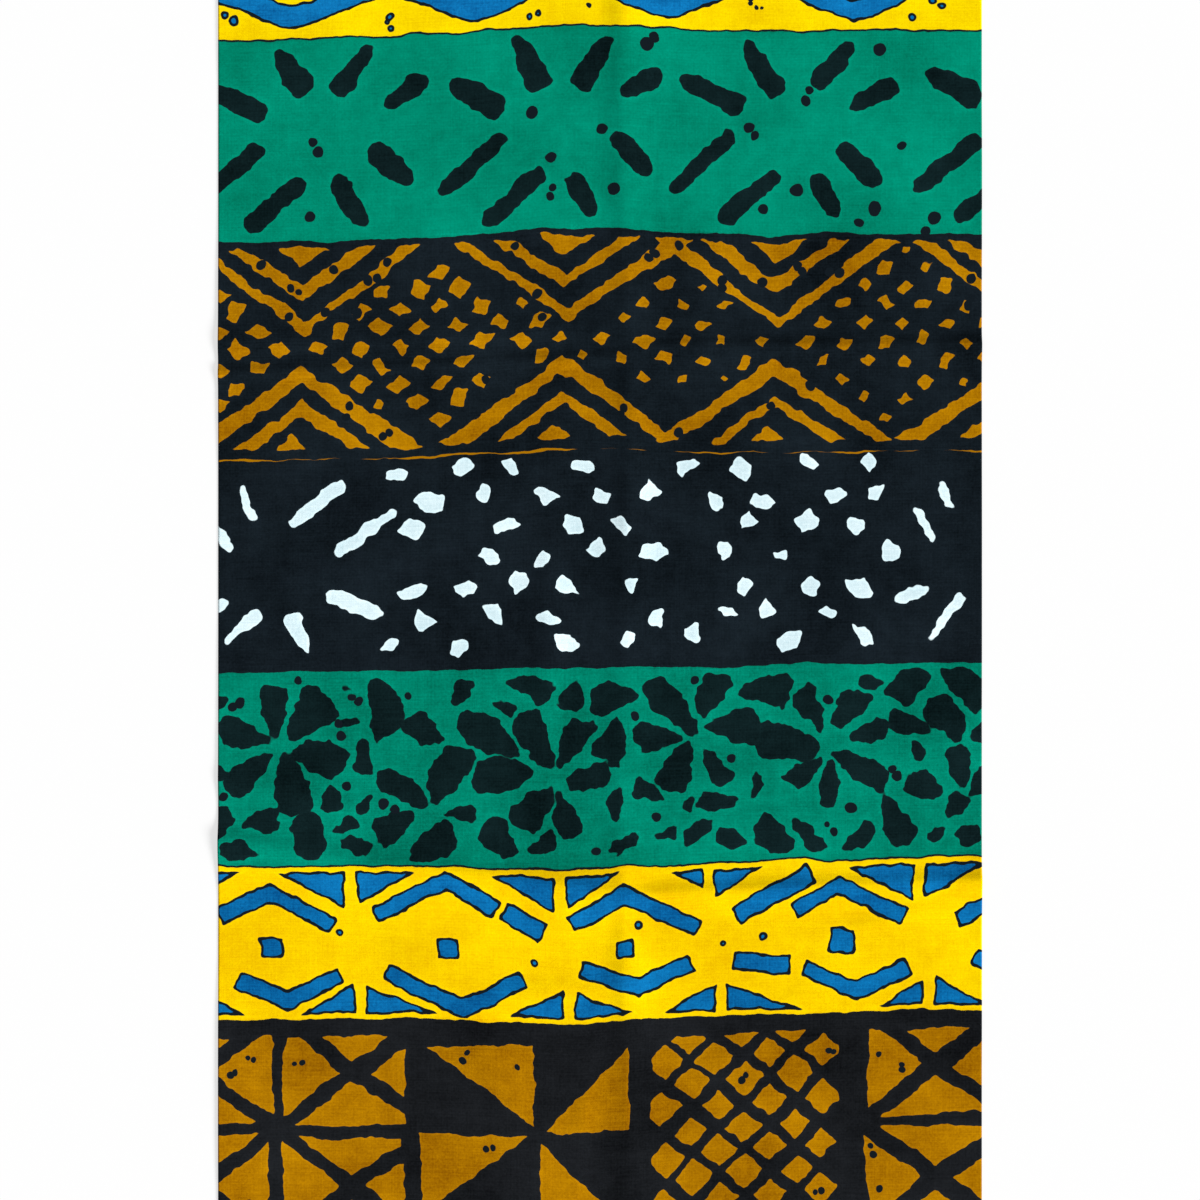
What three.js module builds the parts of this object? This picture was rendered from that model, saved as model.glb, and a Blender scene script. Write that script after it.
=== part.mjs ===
// A half-yard cut of printed cotton cloth, opened out flat after it was stored in folds.
// Millimetres, +Z up. X runs along the print's bands, from one scissor-cut side to the other.
// Y runs across the bands, from selvedge to selvedge. The origin is on the surface that the
// cloth lies on, under the middle of its outline.
import * as THREE from 'three';

// Driving dimensions of the cut
const cutWidth = 469; // between the two sides that the scissors cut
const loomWidth = 1168; // between the two selvedges, 46 inches
const wall = 1.2; // the cloth's wall, straight up at every point
const restLift = 0.25; // what would rise by less than this lies flat on the surface

// The lengthwise storage fold, a ridge that wanders a little from selvedge to selvedge. Like every
// fold it has a steeper and a gentler slope: reach is how far they go, below and above its line,
// here to the left and to the right.
const longFold = { x: 16, rise: 2, reach: [13, 18], sway: 2.4, swayLength: 420 };

// How its height varies: by what share, over what length, and over what longer length that
// variation itself comes and goes
const unevenness = { share: 0.22, length: 380, beat: 900, start: 0.6 };

// The crosswise storage folds. Each runs from leftEnd through atFold, where it meets the long
// fold, to rightEnd, all three along Y. It stands up as a ridge along its line, but on its
// groove side it lies on the surface there, between two low shoulders.
const crossFolds = [
  {
    leftEnd: 484, atFold: 489, rightEnd: 486, groove: 'right',
    left: { rise: 2.3, reach: [12, 7] }, right: { rise: 1.5, reach: [7, 11] },
  },
  {
    leftEnd: 146, atFold: 156, rightEnd: 157, groove: 'left',
    left: { rise: 1.4, reach: [7, 12] }, right: { rise: 2.4, reach: [14, 6.5] },
  },
  {
    leftEnd: -149, atFold: -181, rightEnd: -172, groove: 'none',
    left: { rise: 3.8, reach: [22, 14] }, right: { rise: 2.4, reach: [15, 8] },
  },
  {
    leftEnd: -509, atFold: -512, rightEnd: -507, groove: 'left',
    left: { rise: 1.4, reach: [7, 11] }, right: { rise: 2.6, reach: [13, 7] },
  },
];
const settling = { share: 0.35, length: 116 }; // how much lower they lie in places, and how far apart
const turnOver = 5; // how far beside the long fold a crosswise one passes from its left form to its right
const followReach = 70; // how far beside a fold the grid still follows its line
const selvedgeHold = 12; // the power by which that following stops short of the selvedges

// Soft swells where the cloth doesn't quite settle: centre, half length, half breadth, the
// length's turn from +X in degrees, and rise
const swells = [
  { x: -32, y: -28, length: 105, breadth: 11, turn: 90, rise: 1.7 },
  { x: -187, y: 20, length: 60, breadth: 14, turn: 84, rise: 1.1 },
  { x: -104, y: -236, length: 44, breadth: 11, turn: -31, rise: 2.1 },
  { x: -37, y: -246, length: 46, breadth: 9, turn: 10, rise: 1.2 },
  { x: -62, y: -292, length: 44, breadth: 16, turn: -64, rise: 1.6 },
  { x: -194, y: -136, length: 58, breadth: 13, turn: -10, rise: 1.6 },
  { x: 142, y: -103, length: 84, breadth: 13, turn: 6, rise: 1.1 },
  { x: 60, y: 214, length: 42, breadth: 15, turn: 78, rise: 0.9 },
  { x: -126, y: 302, length: 70, breadth: 14, turn: -48, rise: 1 },
  { x: 118, y: 404, length: 90, breadth: 16, turn: 22, rise: 1.6 },
  { x: -96, y: 548, length: 60, breadth: 18, turn: 66, rise: 1.8 },
  { x: 104, y: -330, length: 74, breadth: 14, turn: 112, rise: 1.2 },
  { x: -120, y: -398, length: 96, breadth: 17, turn: 14, rise: 1.7 },
  { x: 70, y: -556, length: 54, breadth: 18, turn: 74, rise: 1.9 },
];

// How the edges leave the surface: rise, how far in the lift reaches, the length of a wave, where
// it starts, and how far the wave on one edge lies from the middle, the other way on the other
const sideWave = { rise: 1.1, reach: 16, length: 236, start: 0.4, shift: 70 };
const endWave = { rise: 3.4, reach: 30, length: 176, start: 1.1, shift: 50 };

// How high each corner curls, and how far from it the curl reaches
const cornerReach = 34;
const corners = [
  { x: -1, y: -1, rise: 5.2 },
  { x: 1, y: -1, rise: 3.4 },
  { x: -1, y: 1, rise: 3.8 },
  { x: 1, y: 1, rise: 5.8 },
];

// The grid's mean spacing between folds, and how much it tightens beside them
const columnSpacing = 18.5;
const rowSpacing = 19.5;
const tightening = 0.82;
const fewestCells = 5; // between two folds, or a fold and an edge

const turn = 2 * Math.PI;
const halfWidth = cutWidth / 2;
const halfLength = loomWidth / 2;

// Grid lines from low to high that pass through every fold and lie closer together beside one
function gridLines(low, high, folds, spacing) {
  const fixed = [low, ...folds.toSorted((a, b) => a - b), high];
  const lines = [low];
  for (let k = 1; k < fixed.length; k++) {
    const span = fixed[k] - fixed[k - 1];
    const cells = Math.max(fewestCells, Math.round(span / spacing));
    for (let i = 1; i <= cells; i++) {
      const share = i / cells;
      const eased = share - (tightening * Math.sin(turn * share)) / turn;
      lines.push(fixed[k - 1] + span * eased);
    }
  }
  return lines;
}

const bump = (share) => Math.exp(-share * share);

// How far out a place is beside a fold, as a share of the fold's reach on that side, squared
const outward = (distance, reach) => (distance / reach[distance < 0 ? 0 : 1]) ** 2;

// The two shapes of a fold across its line: a rounded crest, and a trough between two shoulders
const ridge = (distance, reach) => (1 + outward(distance, reach)) ** -2;

function groove(distance, reach) {
  const share = outward(distance, reach);
  return share * Math.exp(1 - share);
}

// How far along Y a crosswise grid line lies from its own place, to follow the folds beside it. The
// cloth isn't stretched by it: other points of the cloth lie on the line, and that is all.
function slant(x, y) {
  const side = x < longFold.x ? 'leftEnd' : 'rightEnd';
  const share = Math.abs(x - longFold.x) / (halfWidth - Math.sign(x - longFold.x) * longFold.x);
  const free = 1 - Math.abs(y / halfLength) ** selvedgeHold;
  let move = 0;
  for (const fold of crossFolds) {
    move += bump((y - fold.atFold) / followReach) * (fold[side] - fold.atFold) * share;
  }
  return move * free;
}

// The same along X for a lengthwise grid line, which follows the long fold as it wanders
function sway(x, y) {
  const beside = bump((x - longFold.x) / followReach);
  return longFold.sway * Math.sin((turn * y) / longFold.swayLength) * beside;
}

// Both kinds of storage fold together, rounded into each other where they cross
function foldLift(x, y) {
  const swing = Math.sin((turn * y) / unevenness.length + unevenness.start);
  const uneven = 1 + unevenness.share * swing * Math.cos((turn * y) / unevenness.beat);
  const along = longFold.rise * uneven * ridge(x - longFold.x, longFold.reach);
  const settled = 1 - settling.share * Math.sin((Math.PI * x) / settling.length) ** 2;
  const toTheRight = 1 / (1 + Math.exp((longFold.x - x) / turnOver));
  let across = 0;
  for (const fold of crossFolds) {
    for (const [side, weight] of [['left', 1 - toTheRight], ['right', toTheRight]]) {
      const shape = fold.groove === side ? groove : ridge;
      across += weight * fold[side].rise * settled * shape(y - fold.atFold, fold[side].reach);
    }
  }
  return Math.hypot(along, across);
}

function swellLift(x, y) {
  let lift = 0;
  for (const swell of swells) {
    const angle = THREE.MathUtils.degToRad(swell.turn);
    const dx = x - swell.x;
    const dy = y - swell.y;
    const along = dx * Math.cos(angle) + dy * Math.sin(angle);
    const beside = dy * Math.cos(angle) - dx * Math.sin(angle);
    lift += swell.rise * bump(along / swell.length) * bump(beside / swell.breadth);
  }
  return lift;
}

// A wave along a pair of edges that dies away inwards. across is the distance from the middle
// towards one of them, and half is how far out they lie.
function edgeWave(wave, across, half, along) {
  const shifted = along + wave.shift * Math.sign(across);
  const crest = Math.sin((Math.PI * shifted) / wave.length + wave.start) ** 2;
  return wave.rise * Math.exp((Math.abs(across) - half) / wave.reach) * crest;
}

function edgeLift(x, y) {
  let lift = edgeWave(sideWave, x, halfWidth, y) + edgeWave(endWave, y, halfLength, x);
  for (const corner of corners) {
    const distance = Math.hypot(x - corner.x * halfWidth, y - corner.y * halfLength);
    lift += corner.rise * Math.exp(-distance / cornerReach);
  }
  return lift;
}

// A point of the underside, from the grid lines that it lies on
function underside(x, y) {
  const lift = foldLift(x, y) + swellLift(x, y) + edgeLift(x, y);
  return [x + sway(x, y), y + slant(x, y), Math.max(0, lift - restLift)];
}

// The closed wall: a grid for the underside, the same grid raised by the wall, and a rim round both
function clothGeometry() {
  const columns = gridLines(-halfWidth, halfWidth, [longFold.x], columnSpacing);
  const rows = gridLines(-halfLength, halfLength, crossFolds.map((fold) => fold.atFold), rowSpacing);
  const low = [];
  const high = [];
  for (const y of rows) {
    for (const x of columns) {
      const point = underside(x, y);
      low.push(...point);
      high.push(point[0], point[1], point[2] + wall);
    }
  }
  const across = columns.length;
  const upper = rows.length * across;
  const triangles = [];
  for (let j = 0; j + 1 < rows.length; j++) {
    for (let i = 0; i + 1 < across; i++) {
      const a = j * across + i;
      const [b, c, d] = [a + 1, a + across + 1, a + across];
      triangles.push(a, c, b, a, d, c);
      triangles.push(upper + a, upper + b, upper + c, upper + a, upper + c, upper + d);
    }
  }
  const last = rows.length - 1;
  const rim = [];
  for (let i = 0; i < across; i++) rim.push(i);
  for (let j = 1; j <= last; j++) rim.push(j * across + across - 1);
  for (let i = across - 2; i >= 0; i--) rim.push(last * across + i);
  for (let j = last - 1; j > 0; j--) rim.push(j * across);
  rim.forEach((a, k) => {
    const b = rim[(k + 1) % rim.length];
    triangles.push(a, b, upper + b, a, upper + b, upper + a);
  });
  const geometry = new THREE.BufferGeometry();
  geometry.setAttribute('position', new THREE.Float32BufferAttribute([...low, ...high], 3));
  geometry.setIndex(triangles);
  geometry.computeVertexNormals();
  return geometry;
}

// The print's green, its widest colour after the black ground
const printedCotton = new THREE.MeshStandardMaterial({ color: 0x008b70, roughness: 0.82, metalness: 0 });
const cloth = new THREE.Mesh(clothGeometry(), printedCotton);
cloth.name = 'cloth';

const part = new THREE.Group();
part.add(cloth);

export default part;
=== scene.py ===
import bpy
import numpy as np
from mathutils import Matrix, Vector


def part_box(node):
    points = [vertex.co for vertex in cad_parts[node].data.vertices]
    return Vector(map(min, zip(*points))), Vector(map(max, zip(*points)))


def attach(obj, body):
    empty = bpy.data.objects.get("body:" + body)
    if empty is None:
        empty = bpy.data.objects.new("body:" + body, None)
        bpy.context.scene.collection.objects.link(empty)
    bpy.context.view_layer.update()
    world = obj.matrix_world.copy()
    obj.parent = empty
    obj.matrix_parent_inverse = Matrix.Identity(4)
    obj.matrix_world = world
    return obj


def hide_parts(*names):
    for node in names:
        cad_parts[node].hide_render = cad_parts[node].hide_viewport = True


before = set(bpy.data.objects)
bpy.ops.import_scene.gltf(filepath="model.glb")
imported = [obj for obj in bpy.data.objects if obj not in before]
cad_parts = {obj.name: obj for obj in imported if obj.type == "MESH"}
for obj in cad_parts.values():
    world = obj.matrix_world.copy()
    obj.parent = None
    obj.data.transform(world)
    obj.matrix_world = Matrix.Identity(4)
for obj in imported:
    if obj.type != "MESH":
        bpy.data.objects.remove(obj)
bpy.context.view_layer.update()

# The cloth is worked out in millimetres and written into the meshes in metres. X runs along the
# print's bands, Y across them, and Z is the height above the surface that the cloth lies on.
metres = 0.001
far = 1000.0
fullTurn = 2 * np.pi
low, high = (np.array(corner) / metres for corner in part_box("cloth"))
halfWidth, halfLength = (high - low)[:2] / 2

# What the camera takes in: a square of the surface, seen from straight above
view = dict(across=737.2, height=1600.0, sensor=36.0)

camera = bpy.data.cameras.new("overheadCamera")
camera.sensor_width = view["sensor"]
camera.lens = view["sensor"] * view["height"] / view["across"]
overhead = bpy.data.objects.new("overheadCamera", camera)
overhead.location = (0, 0, view["height"] * metres)
bpy.context.collection.objects.link(overhead)
bpy.context.scene.camera = overhead


def table(columns, *rows):
    # a short table: each row becomes a dictionary with the columns as its keys
    return [dict(zip(columns.split(), row)) for row in rows]


# The cloth's relief. Folds and swells repeat those of its solid, and the fine ones are added here.
# A fold's reach is given on both of its sides: left and right of the long one, below and above a
# crosswise one.
longFold = dict(x=16, rise=2, reach=(13, 18), sway=2.4, swayLength=420)
unevenness = dict(share=0.22, length=380, beat=900, start=0.6)
crossFolds = table(
    "leftEnd atFold rightEnd leftRise rightRise leftReach rightReach groove",
    (484, 489, 486, 2.3, 1.5, (12, 7), (7, 11), "right"),
    (146, 156, 157, 1.4, 2.4, (7, 12), (14, 6.5), "left"),
    (-149, -181, -172, 3.8, 2.4, (22, 14), (15, 8), "none"),
    (-509, -512, -507, 1.4, 2.6, (7, 11), (13, 7), "left"),
)
following = dict(settleShare=0.35, settleLength=116, reach=70, selvedgeHold=12, turnOver=5)
swells = table(
    "x y length breadth turn rise",
    (-32, -28, 105, 11, 90, 1.7),
    (-187, 20, 60, 14, 84, 1.1),
    (-104, -236, 44, 11, -31, 2.1),
    (-37, -246, 46, 9, 10, 1.2),
    (-62, -292, 44, 16, -64, 1.6),
    (-194, -136, 58, 13, -10, 1.6),
    (142, -103, 84, 13, 6, 1.1),
    (60, 214, 42, 15, 78, 0.9),
    (-126, 302, 70, 14, -48, 1.0),
    (118, 404, 90, 16, 22, 1.6),
    (-96, 548, 60, 18, 66, 1.8),
    (104, -330, 74, 14, 112, 1.2),
    (-120, -398, 96, 17, 14, 1.7),
    (70, -556, 54, 18, 74, 1.9),
)
fineCreases = table(
    "x y length breadth turn rise",
    (-20, 268, 34, 4.5, -52, 0.68),
    (-6, 240, 26, 4.0, -60, 0.54),
    (-150, 250, 40, 5.0, 28, 0.47),
    (96, 318, 46, 5.0, -34, 0.54),
    (178, 262, 30, 4.5, 52, 0.47),
    (-70, 120, 50, 5.0, 8, 0.47),
    (-170, -120, 44, 5.5, -22, 0.68),
    (-128, -132, 30, 4.5, 18, 0.54),
    (188, -200, 42, 5.0, 12, 0.54),
    (-72, -196, 30, 4.5, -38, 0.54),
    (-14, -330, 52, 5.5, 84, 0.68),
    (90, -270, 46, 5.0, 40, 0.47),
    (-60, 430, 60, 6.0, 30, 0.81),
    (60, -450, 60, 6.0, -24, 0.81),
)
edges = table(
    "rise reach length start shift",
    (1.1, 16, 236, 0.4, 70),  # the two cut sides
    (3.4, 30, 176, 1.1, 50),  # the two selvedges
)
corners = table("x y rise", (-1, -1, 5.2), (1, -1, 3.4), (-1, 1, 3.8), (1, 1, 5.8))
cornerReach = 34
slack = table(
    "alongX alongY start rise",
    (0.031, 0.012, 0.4, 0.16),
    (-0.019, 0.041, 2.2, 0.14),
    (0.055, -0.034, 4.1, 0.09),
    (0.013, 0.083, 1.3, 0.07),
    (0.094, 0.047, 5.2, 0.05),
)
cloth = dict(thickness=0.42, restLift=0.25, columnSpacing=3.35, rowSpacing=3.42, tightening=0.65, rimTurn=1.5)


def bump(share):
    return np.exp(-(share**2))


def ridge(distance, reach):
    # one over the square of one plus the distance squared: a rounded crest with low skirts
    return (1 + (distance / np.where(distance < 0, *reach)) ** 2) ** -2


def groove(distance, reach):
    # nothing along the line itself and a low shoulder on each side of it
    share = (distance / np.where(distance < 0, *reach)) ** 2
    return share * np.exp(1 - share)


def toTheRight(x):
    # nought to the left of the long fold and one to its right, with a short passage between
    return 1 / (1 + np.exp(-(x - longFold["x"]) / following["turnOver"]))


def foldLift(x, y):
    # the long fold and the crosswise folds, rounded into each other where they cross
    swing = np.sin(fullTurn * y / unevenness["length"] + unevenness["start"])
    uneven = 1 + unevenness["share"] * swing * np.cos(fullTurn * y / unevenness["beat"])
    along = longFold["rise"] * uneven * ridge(x - longFold["x"], longFold["reach"])
    right = toTheRight(x)
    settled = 1 - following["settleShare"] * np.sin(np.pi * x / following["settleLength"]) ** 2
    across = 0
    for fold in crossFolds:
        for side, weight in (("left", 1 - right), ("right", right)):
            shape = groove if fold["groove"] == side else ridge
            across += weight * fold[side + "Rise"] * settled * shape(y - fold["atFold"], fold[side + "Reach"])
    return np.hypot(along, across)


def swellLift(x, y, rows):
    # long low mounds: a bell along the turned length times a bell across it
    lift = 0
    for row in rows:
        angle = np.radians(row["turn"])
        dx, dy = x - row["x"], y - row["y"]
        along = dx * np.cos(angle) + dy * np.sin(angle)
        beside = dy * np.cos(angle) - dx * np.sin(angle)
        lift += row["rise"] * bump(along / row["length"]) * bump(beside / row["breadth"])
    return lift


def edgeLift(x, y):
    # a wave along each edge that dies away inwards, and a curl at each corner
    lift = 0
    for wave, across, half, along in ((edges[0], x, halfWidth, y), (edges[1], y, halfLength, x)):
        shifted = along + wave["shift"] * np.sign(across)
        crest = np.sin(np.pi * shifted / wave["length"] + wave["start"]) ** 2
        lift += wave["rise"] * np.exp((np.abs(across) - half) / wave["reach"]) * crest
    for corner in corners:
        away = np.hypot(x - corner["x"] * halfWidth, y - corner["y"] * halfLength)
        lift += corner["rise"] * np.exp(-away / cornerReach)
    return lift


def slackLift(x, y):
    # slow sine waves that cross at odd angles, for cloth that is nowhere quite taut
    return sum(row["rise"] * np.sin(row["alongX"] * x + row["alongY"] * y + row["start"]) for row in slack)


def clothPlace(x, y):
    # a grid line bends to follow the folds, and its points rise with all of the relief
    share = np.abs(x - longFold["x"]) / (halfWidth - np.sign(x - longFold["x"]) * longFold["x"])
    free = 1 - np.abs(y / halfLength) ** following["selvedgeHold"]
    slant = 0
    for fold in crossFolds:
        end = np.where(x < longFold["x"], fold["leftEnd"], fold["rightEnd"])
        slant += bump((y - fold["atFold"]) / following["reach"]) * (end - fold["atFold"]) * share
    sway = longFold["sway"] * np.sin(fullTurn * y / longFold["swayLength"])
    beside = bump((x - longFold["x"]) / following["reach"])
    lift = foldLift(x, y) + swellLift(x, y, swells) + swellLift(x, y, fineCreases)
    lift += edgeLift(x, y) + slackLift(x, y) - cloth["restLift"]
    return x + sway * beside, y + slant * free, np.maximum(0, lift)


def gridLines(lowEnd, highEnd, folds, spacing):
    # lines through every fold, closer together beside one
    fixed = [lowEnd, *sorted(folds), highEnd]
    lines = [np.array([lowEnd])]
    for start, end in zip(fixed, fixed[1:]):
        cells = round((end - start) / spacing)
        share = np.arange(1, cells + 1) / cells
        eased = share - cloth["tightening"] * np.sin(fullTurn * share) / fullTurn
        lines.append(start + (end - start) * eased)
    return np.concatenate(lines)


# How the print lies on the cloth: a little askew, and bulging away from the middle at the long fold
lie = dict(skew=0.0133, x=-15, round=10, reach=70, bulge=8.5, still=-40, grow=150)


def printPlace(x, y):
    beside = np.exp(-np.hypot(x - lie["x"], lie["round"]) / lie["reach"])
    bulge = lie["bulge"] * np.tanh((y - lie["still"]) / lie["grow"]) * beside
    return x, y - lie["skew"] * x - bulge


# Every motif of the print is a shape with up to five straight sides, each held as the two parts of
# its outward normal and minus its offset, so that a point with a 1 put behind it gives its distance
# outside a side as one dot product. soft is how far the corners are rounded. A spot is a circle.
sideCount = 5
noSide = (0.0, 0.0, -far)  # every place is inside it; as a spot, none is
noMotif = (0.0, 0.0, far)
strokeTip = 0.2  # how far a stroke's blunt tip stands out, as a share of its end's width
taperPlace = 30  # how far along an arm its sides turn when it tapers, at most


def shaped(sides, soft):
    sides = np.array(sides, float).reshape(-1, 3)
    spare = np.tile(noSide, (sideCount - len(sides), 1))
    return np.concatenate([sides, spare]), soft


def polygon(points, soft, inset=0.0):
    # the sides of a convex shape from its corners, moved in by the inset
    points = np.array(points, float)
    out = points - points.mean(0)
    points = points[np.argsort(np.arctan2(out[:, 1], out[:, 0]))]
    along = np.roll(points, -1, axis=0) - points
    normal = np.stack([along[:, 1], -along[:, 0]], 1) / np.hypot(*along.T)[:, None]
    offset = (normal * points).sum(1) - inset
    return shaped(np.column_stack([normal, -offset]), soft)


def turned(points, centre, degrees):
    angle = np.radians(degrees)
    points = np.array(points, float)
    x = points[:, 0] * np.cos(angle) - points[:, 1] * np.sin(angle) + centre[0]
    y = points[:, 0] * np.sin(angle) + points[:, 1] * np.cos(angle) + centre[1]
    return np.stack([x, y], 1)


def stroke(centre, turn, length, startWide, endWide, soft):
    # a tapering dab of the brush with a blunt tip at its far end
    half, tip = length / 2, endWide * strokeTip
    points = [(-half, -startWide / 2), (-half, startWide / 2), (half - tip, endWide / 2)]
    points += [(half - tip, -endWide / 2), (half + tip, 0)]
    return polygon(turned(points, centre, turn), soft)


def bar(centre, turn, length, breadth, soft):
    points = [(-length / 2, -breadth / 2), (-length / 2, breadth / 2)]
    points += [(length / 2, -breadth / 2), (length / 2, breadth / 2)]
    return polygon(turned(points, centre, turn), soft)


def arm(apex, turn, length, thick, soft, level=None, towards=0, taper=0.0):
    # one arm of a bent strip. Past the apex it runs on just far enough to meet the other arm's
    # outer edge in a point. A level cuts it off along the band, above it (1) or below it (-1). The
    # taper turns the two long sides towards each other, about places some way along the arm.
    rows = []
    runOn = thick / 2 * abs(np.tan(np.radians(turn)))
    along = np.array([np.cos(np.radians(turn)), np.sin(np.radians(turn))])
    for side in (1, -1):
        lean = np.radians(turn + side * (90 - taper))
        across = np.array([np.cos(lean), np.sin(lean)])
        middle = apex + along * min(length / 2, taperPlace)
        rows.append((*across, -across @ middle - thick / 2))
    rows += [(*-along, along @ apex - runOn), (*along, -along @ apex - length)]
    if level is not None:
        rows.append((0, towards, -towards * level))
    return shaped(rows, soft)


def depth(u, v, motifs):
    # how far each place is outside the nearest motif, or inside it when negative
    here = np.stack([u, v, np.ones_like(u)], 1)
    sides = np.array([motif[0] for motif in motifs])
    return np.einsum("pk,msk->pms", here, sides).max(2).min(1)


# Loose spots: how far they keep from their band's edges and from each other, how many places are
# tried for each, and how far off and how large a twin is, as shares of its spot's radius
looseSpots = dict(clear=6, apart=13, tries=80, twinAway=(1.3, 2.6), twinSize=0.85)


def sprinkle(band, dice, motifs, count, least, most, radii, twins=0.4):
    # spots at random places whose depth lies between least and most, well apart from each other,
    # some with a twin that touches or nearly touches them
    tries = count * looseSpots["tries"]
    u = dice.uniform(-halfWidth, halfWidth, tries)
    v = dice.uniform(band["bottom"] + looseSpots["clear"], band["top"] - looseSpots["clear"], tries)
    found = depth(u, v, motifs)
    spots, firsts = [], []
    for place in np.flatnonzero((found > least) & (found < most)):
        if len(firsts) == count:
            break
        if any(np.hypot(u[place] - u[first], v[place] - v[first]) < looseSpots["apart"] for first in firsts):
            continue
        firsts.append(place)
        radius = dice.uniform(*radii)
        spots.append((u[place], v[place], radius))
        if dice.random() < twins:
            angle = dice.uniform(0, fullTurn)
            gap = radius * dice.uniform(*looseSpots["twinAway"])
            twin = (u[place] + gap * np.cos(angle), v[place] + gap * np.sin(angle))
            spots.append((*twin, radius * looseSpots["twinSize"]))
    return spots


# A burst: strokes set round a centre, each with its own angle and distance from it
burstStrokes = table(
    "angle away turn length inner outer",
    (24, 57, 30, 29, 7, 14.5),
    (59, 46, 54, 38, 13.5, 8.5),
    (112, 44, 120, 36, 16.5, 7.5),
    (155, 54, 151, 38, 14, 11),
    (203, 58, 220, 54, 10, 9),
    (236, 51, 219, 45, 9.5, 11.5),
    (294, 46, 298, 31, 12, 11.5),
    (335, 49, 315, 31, 12, 12.5),
)
paleStrokes = table(
    "angle away turn length inner outer",
    (25, 50, 38, 49, 6.2, 6.6),
    (66, 45, 39, 37, 5.6, 7.6),
    (122, 48, 117, 24, 5, 5.5),
    (153, 47, 128, 25, 5.5, 5),
    (204, 52, 207, 23, 5, 9),
    (231, 46, 230, 34, 8, 4),
    (281, 41, 300, 28, 12.5, 4.5),
    (328, 47, 336, 35, 11, 7),
)
jitter = dict(angle=4.0, away=2.5, turn=5.0, size=0.1)
bursts = dict(centres=(-321, -174, -27, 117, 265), drop=60, swell=1.1, soft=12.0)
paleBursts = dict(centres=(-190, 240), swell=1.08, soft=9.0)


def burst(centre, strokes, kind, dice):
    motifs = []
    for row in strokes:
        angle = np.radians(row["angle"] + dice.uniform(-1, 1) * jitter["angle"])
        away = row["away"] + dice.uniform(-1, 1) * jitter["away"]
        place = (centre[0] + away * np.cos(angle), centre[1] + away * np.sin(angle))
        turn = row["turn"] + dice.uniform(-1, 1) * jitter["turn"]
        size = kind["swell"] * (1 + dice.uniform(-1, 1, 3) * jitter["size"])
        length, inner, outer = size * (row["length"], row["inner"], row["outer"])
        motifs.append(stroke(place, turn, length, inner, outer, kind["soft"]))
    return motifs


def burstBand(band, dice):
    motifs = []
    for u in bursts["centres"]:
        motifs += burst((u, band["top"] - bursts["drop"]), burstStrokes, bursts, dice)
    return motifs, sprinkle(band, dice, motifs, count=17, least=6, most=40, radii=(2.8, 4.2))


# Nested bent strips that point down from the band's top and up from its bottom, with a lattice of
# small squares between them
nested = dict(
    apexes=(-331, -182.5, -20.5, 110.5, 262),
    outerDrop=54, outerThick=5.7, innerDrop=32.5, innerThick=6.7, downTurn=37, topCut=4.2,
    outerRise=52, upThick=8.5, innerRise=30, innerUpThick=6.7, upTurn=34.5, bottomCut=5.5,
    shift=-2, innerLean=-2, apexShake=2, levelShake=0.8, slopeShake=1.2, taper=2.2, thickShake=(0.9, 1.14),
    stripSoft=2.5,
)
# What stands inside the innermost strips: a wedge or a bar at the top, a low wedge at the bottom
wedges = dict(
    hanging=((-17, 0), (17, 0), (-2, -13)), hangingSoft=2, wedgeShare=0.5,
    barPlace=(-3, -2.6), barTurn=(-2, 3), barSize=(28, 5.2),
    standing=((-18, 0), (3, 0), (-8, 9)), standingSoft=2.5,
)
# The lattice. To the right of pinchedFrom its squares are smaller by the share that pinch gives.
lattice = dict(
    pitch=24.8, rowPitch=11.5, first=9, shake=(1.5, 1.2), square=6.9, size=(0.72, 1.06), missing=0.05,
    long=(0.95, 1.3), short=(0.75, 1.0), lean=0.2, turn=(-6, 32), soft=1.4,
    clear=5.2, margin=2.2, clearBelow=10, clearAbove=7, pinchedFrom=12, pinch=0.8,
)


def bentStrip(apex, turn, thick, dice, level, towards):
    # a strip bent at its apex, with each arm's slope, thickness and taper a little its own
    arms = []
    for direction in (turn, 180 - turn):
        slope = direction + dice.uniform(-1, 1) * nested["slopeShake"]
        taper = dice.uniform(-1, 1) * nested["taper"]
        broad = thick * dice.uniform(*nested["thickShake"])
        arms.append(arm(apex, slope, far, broad, nested["stripSoft"], level, towards, taper))
    return arms


def innerShapes(u, topLevel, bottomLevel, dice):
    hanging, standing, place = (np.array(wedges[name]) for name in ("hanging", "standing", "barPlace"))
    if dice.random() < wedges["wedgeShare"]:
        upper = polygon(hanging + (u, topLevel), wedges["hangingSoft"])
    else:
        turn = dice.uniform(*wedges["barTurn"])
        upper = bar(place + (u, topLevel), turn, *wedges["barSize"], wedges["hangingSoft"])
    return [upper, polygon(standing + (u, bottomLevel), wedges["standingSoft"])]


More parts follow.
